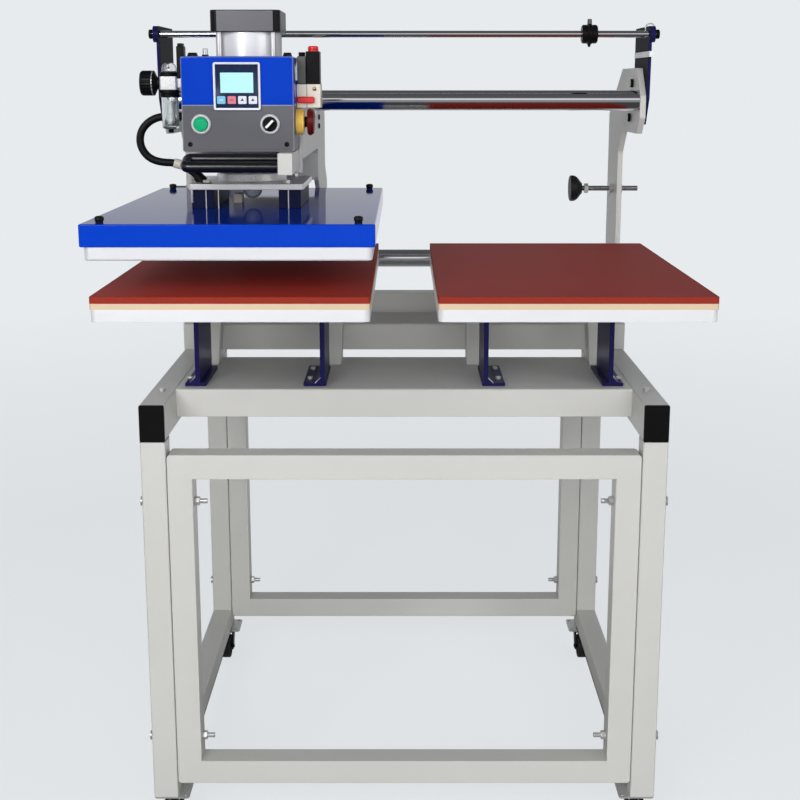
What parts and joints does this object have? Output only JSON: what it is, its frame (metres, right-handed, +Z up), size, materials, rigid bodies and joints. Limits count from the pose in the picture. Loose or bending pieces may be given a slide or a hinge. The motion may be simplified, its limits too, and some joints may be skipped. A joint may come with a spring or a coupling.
{
  "type": "dual station heat press",
  "caption": "Pneumatic heat press on a caster stand with two lower platens and one heated head that slides between them.",
  "frame": {"origin": "floor level, under the centre of the machine's outline", "axes": "+X the operator's right, +Y away from the operator, +Z up"},
  "size_m": [0.932, 0.886, 1.346],
  "materials": {
    "powder_coat": "satin powder coat",
    "blue_paint": "gloss",
    "navy_paint": "satin",
    "chrome": "polished",
    "zinc": "zinc plated",
    "steel": "ground",
    "aluminium": "satin",
    "dark_aluminium": "anodised",
    "foam": "silicone foam",
    "red_silicone": "matt silicone sheet",
    "black_plastic": "moulded",
    "black_rubber": "foam rubber",
    "grey_wheel": "matt",
    "controller_frame": "moulded",
    "lcd": "lit display",
    "key_cyan": "moulded",
    "key_red": "moulded",
    "key_white": "moulded",
    "green": "moulded",
    "red": "moulded",
    "white_plastic": "moulded",
    "clear": "clear polycarbonate",
    "wool": "mineral wool"
  },
  "bodies": {
    "stand": {"side_frames": "powder_coat", "leg_frames": "powder_coat", "tube_end_caps": "black_plastic", "frame_bolts": "zinc", "bed": "powder_coat", "rear_beams": "powder_coat", "platen_supports": "powder_coat", "platen_brackets": "navy_paint", "lower_platens": "aluminium", "foam_pads": "foam", "silicone_pads": "red_silicone", "end_plates": "powder_coat", "chrome_rails": "chrome", "cable_rod": "chrome", "rod_brackets": "navy_paint", "caster_plates": "zinc"},
    "carriage": {"carriage_frame": "powder_coat", "linear_bearings": "steel", "cylinder_caps": "dark_aluminium", "cylinder_barrel": "aluminium", "tie_rods": "zinc", "control_box": "blue_paint", "controller_case": "controller_frame", "controller_lens": "lcd", "button_bezels": "zinc", "valve_body": "white_plastic", "valve_coil": "black_plastic", "air_regulator": "aluminium", "filter_bowl": "clear", "air_fittings": "black_plastic", "handle_grip": "black_rubber", "heater_cable": "black_rubber"},
    "press_head": {"press_rods": "chrome", "press_plate": "steel", "hanger_bars": "navy_paint", "platen_cover": "blue_paint", "heater_plate": "aluminium", "insulation": "wool", "corner_knobs": "black_plastic"},
    "cable_trolley": {"cable_trolley": "black_plastic"},
    "left_stop": {"left_stop_screw": "zinc", "left_stop_bumper": "black_rubber"},
    "right_stop": {"right_stop_screw": "zinc", "right_stop_bumper": "black_rubber"},
    "front_left_fork": {"front_left_caster_fork": "black_plastic"},
    "front_left_wheel": {"front_left_caster_wheel": "grey_wheel"},
    "front_right_fork": {"front_right_caster_fork": "black_plastic"},
    "front_right_wheel": {"front_right_caster_wheel": "grey_wheel"},
    "rear_left_fork": {"rear_left_caster_fork": "black_plastic"},
    "rear_left_wheel": {"rear_left_caster_wheel": "grey_wheel"},
    "rear_right_fork": {"rear_right_caster_fork": "black_plastic"},
    "rear_right_wheel": {"rear_right_caster_wheel": "grey_wheel"},
    "key_1": {"controller_key_1": "key_cyan"},
    "key_2": {"controller_key_2": "key_red"},
    "key_3": {"controller_key_3": "key_white"},
    "key_4": {"controller_key_4": "key_white"},
    "start_button": {"start_button": "green"},
    "selector_knob": {"selector_knob": "black_plastic"},
    "e_stop_button": {"e_stop_button": "red"},
    "regulator_knob": {"regulator_knob": "black_plastic"}
  },
  "joints": [
    {"name": "carriage_slide", "type": "slide", "parent": "stand", "child": "carriage", "axis": [1, 0, 0], "range_m": [0, 0.487]},
    {"name": "press_stroke", "type": "slide", "parent": "carriage", "child": "press_head", "axis": [0, 0, -1], "range_m": [0, 0.051], "stiffness_N_per_m": 8000, "springref_m": -0.05, "deforming": ["heater_cable"]},
    {"name": "cable_trolley_slide", "type": "slide", "parent": "stand", "child": "cable_trolley", "axis": [1, 0, 0], "range_m": [-0.7, 0.08]},
    {"name": "left_stop_adjust", "type": "slide", "parent": "stand", "child": "left_stop", "axis": [-1, 0, 0], "range_m": [0, 0.005]},
    {"name": "right_stop_adjust", "type": "slide", "parent": "stand", "child": "right_stop", "axis": [1, 0, 0], "range_m": [0, 0.005]},
    {"name": "front_left_swivel", "type": "hinge", "parent": "stand", "child": "front_left_fork", "pos_m": [-0.388, -0.225, 0.06], "axis": [0, 0, 1], "continuous": true},
    {"name": "front_left_spin", "type": "hinge", "parent": "front_left_fork", "child": "front_left_wheel", "pos_m": [-0.388, -0.241, 0.025], "axis": [1, 0, 0], "continuous": true},
    {"name": "front_right_swivel", "type": "hinge", "parent": "stand", "child": "front_right_fork", "pos_m": [0.388, -0.225, 0.06], "axis": [0, 0, 1], "continuous": true},
    {"name": "front_right_spin", "type": "hinge", "parent": "front_right_fork", "child": "front_right_wheel", "pos_m": [0.388, -0.241, 0.025], "axis": [1, 0, 0], "continuous": true},
    {"name": "rear_left_swivel", "type": "hinge", "parent": "stand", "child": "rear_left_fork", "pos_m": [-0.388, 0.414, 0.06], "axis": [0, 0, 1], "continuous": true},
    {"name": "rear_left_spin", "type": "hinge", "parent": "rear_left_fork", "child": "rear_left_wheel", "pos_m": [-0.388, 0.398, 0.025], "axis": [1, 0, 0], "continuous": true},
    {"name": "rear_right_swivel", "type": "hinge", "parent": "stand", "child": "rear_right_fork", "pos_m": [0.388, 0.414, 0.06], "axis": [0, 0, 1], "continuous": true},
    {"name": "rear_right_spin", "type": "hinge", "parent": "rear_right_fork", "child": "rear_right_wheel", "pos_m": [0.388, 0.398, 0.025], "axis": [1, 0, 0], "continuous": true},
    {"name": "key_1_press", "type": "slide", "parent": "carriage", "child": "key_1", "axis": [0, 1, 0], "range_m": [0, 0.001], "stiffness_N_per_m": 500, "springref_m": -0.0005},
    {"name": "key_2_press", "type": "slide", "parent": "carriage", "child": "key_2", "axis": [0, 1, 0], "range_m": [0, 0.001], "stiffness_N_per_m": 500, "springref_m": -0.0005},
    {"name": "key_3_press", "type": "slide", "parent": "carriage", "child": "key_3", "axis": [0, 1, 0], "range_m": [0, 0.001], "stiffness_N_per_m": 500, "springref_m": -0.0005},
    {"name": "key_4_press", "type": "slide", "parent": "carriage", "child": "key_4", "axis": [0, 1, 0], "range_m": [0, 0.001], "stiffness_N_per_m": 500, "springref_m": -0.0005},
    {"name": "start_button_press", "type": "slide", "parent": "carriage", "child": "start_button", "axis": [0, 1, 0], "range_m": [0, 0.004], "stiffness_N_per_m": 500, "springref_m": -0.001},
    {"name": "selector_turn", "type": "hinge", "parent": "carriage", "child": "selector_knob", "pos_m": [-0.1965, -0.296, 1.177], "axis": [0, 1, 0], "range_deg": [-90, 0]},
    {"name": "e_stop_press", "type": "slide", "parent": "carriage", "child": "e_stop_button", "axis": [-1, 0, 0], "range_m": [0, 0.004], "stiffness_N_per_m": 500, "springref_m": -0.001},
    {"name": "regulator_turn", "type": "hinge", "parent": "carriage", "child": "regulator_knob", "pos_m": [-0.3805, -0.25, 1.236], "axis": [-1, 0, 0], "range_deg": [0, 720]}
  ]
}
